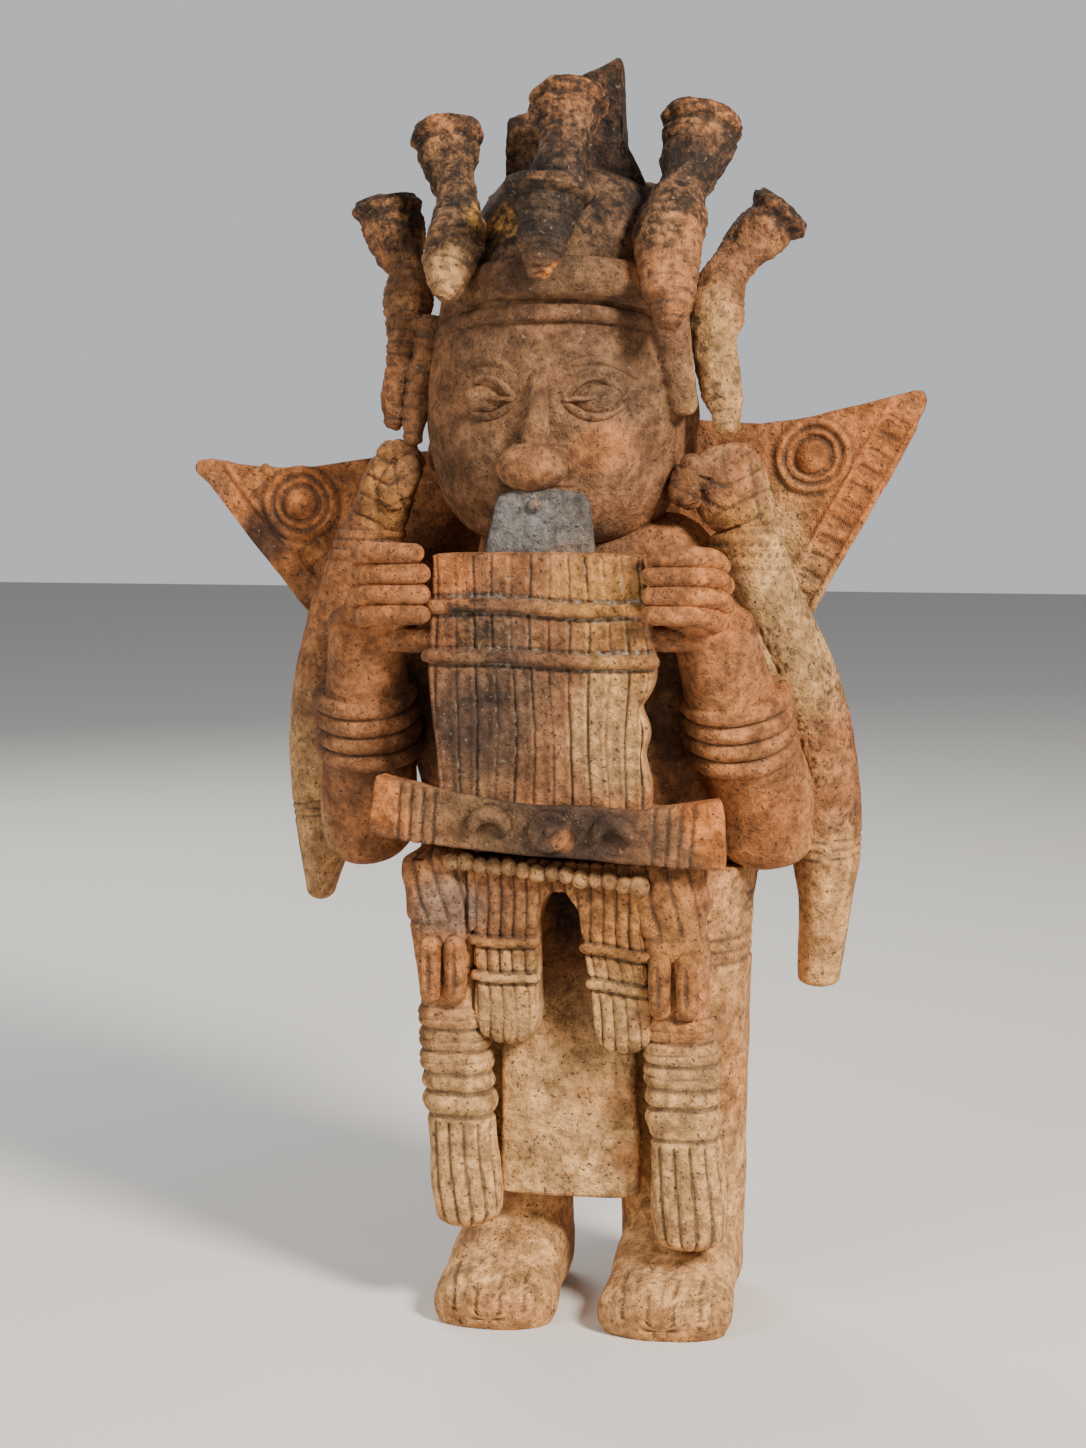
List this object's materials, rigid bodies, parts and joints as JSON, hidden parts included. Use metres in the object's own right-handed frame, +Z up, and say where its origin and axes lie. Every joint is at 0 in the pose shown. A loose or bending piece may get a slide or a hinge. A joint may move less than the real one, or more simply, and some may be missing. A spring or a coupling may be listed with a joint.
{
  "type": "standing figure",
  "caption": "Fired clay figure standing with a panpipe at its lips, in a winged cape, pelts, tassels and a headdress of shells.",
  "frame": {"origin": "middle of the bounding box's underside, at the soles of the feet", "axes": "+Z up, the figure faces -Y, +X to the viewer's right"},
  "size_m": [0.2078, 0.0928, 0.341],
  "materials": {
    "fired_clay": "matt, unglazed, with dark and pale patches"
  },
  "bodies": {
    "root": {"figure": "fired_clay"}
  },
  "joints": []
}
